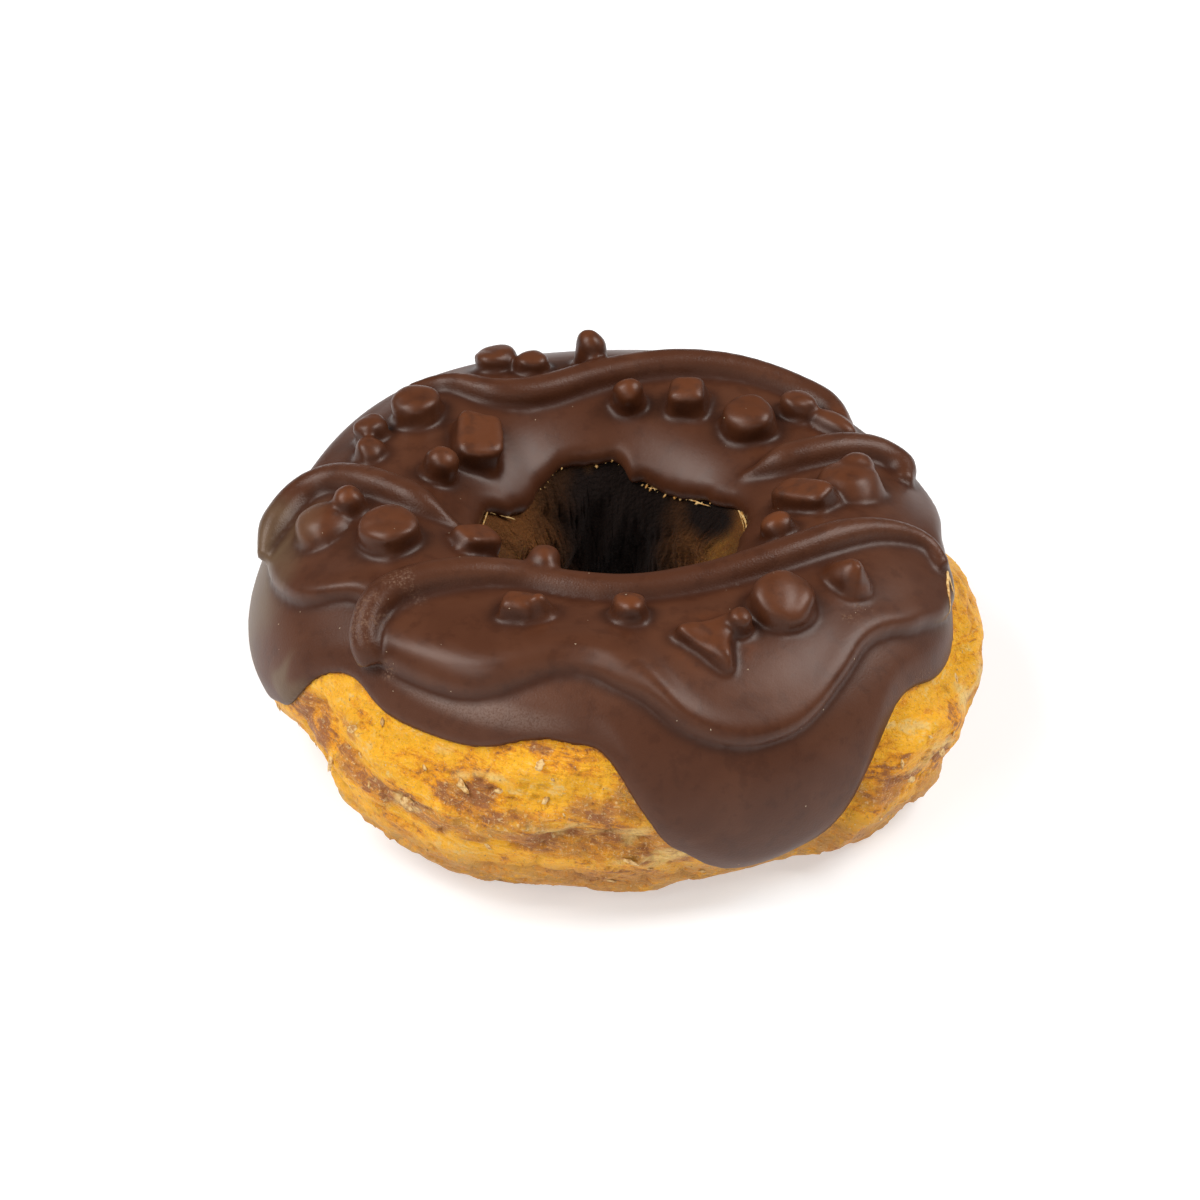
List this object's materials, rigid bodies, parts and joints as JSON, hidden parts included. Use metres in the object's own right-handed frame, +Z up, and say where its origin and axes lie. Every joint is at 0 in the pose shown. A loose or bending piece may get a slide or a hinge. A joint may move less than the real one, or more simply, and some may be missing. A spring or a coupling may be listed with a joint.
{
  "type": "frosted ring doughnut",
  "caption": "Ring doughnut of rough golden dough under a moulded chocolate coat with drips, drizzled ridges and nut-like lumps.",
  "frame": {"origin": "middle of the bounding box on the flat underside", "axes": "+Z up through the hole, -Y towards the side with the largest drip, which the picture shows at the front"},
  "size_m": [0.0893, 0.089, 0.0357],
  "materials": {
    "dough": "rough fibrous golden dough",
    "chocolate": "satin chocolate frosting"
  },
  "bodies": {
    "root": {"dough_ring": "dough", "frosting": "chocolate"}
  },
  "joints": []
}
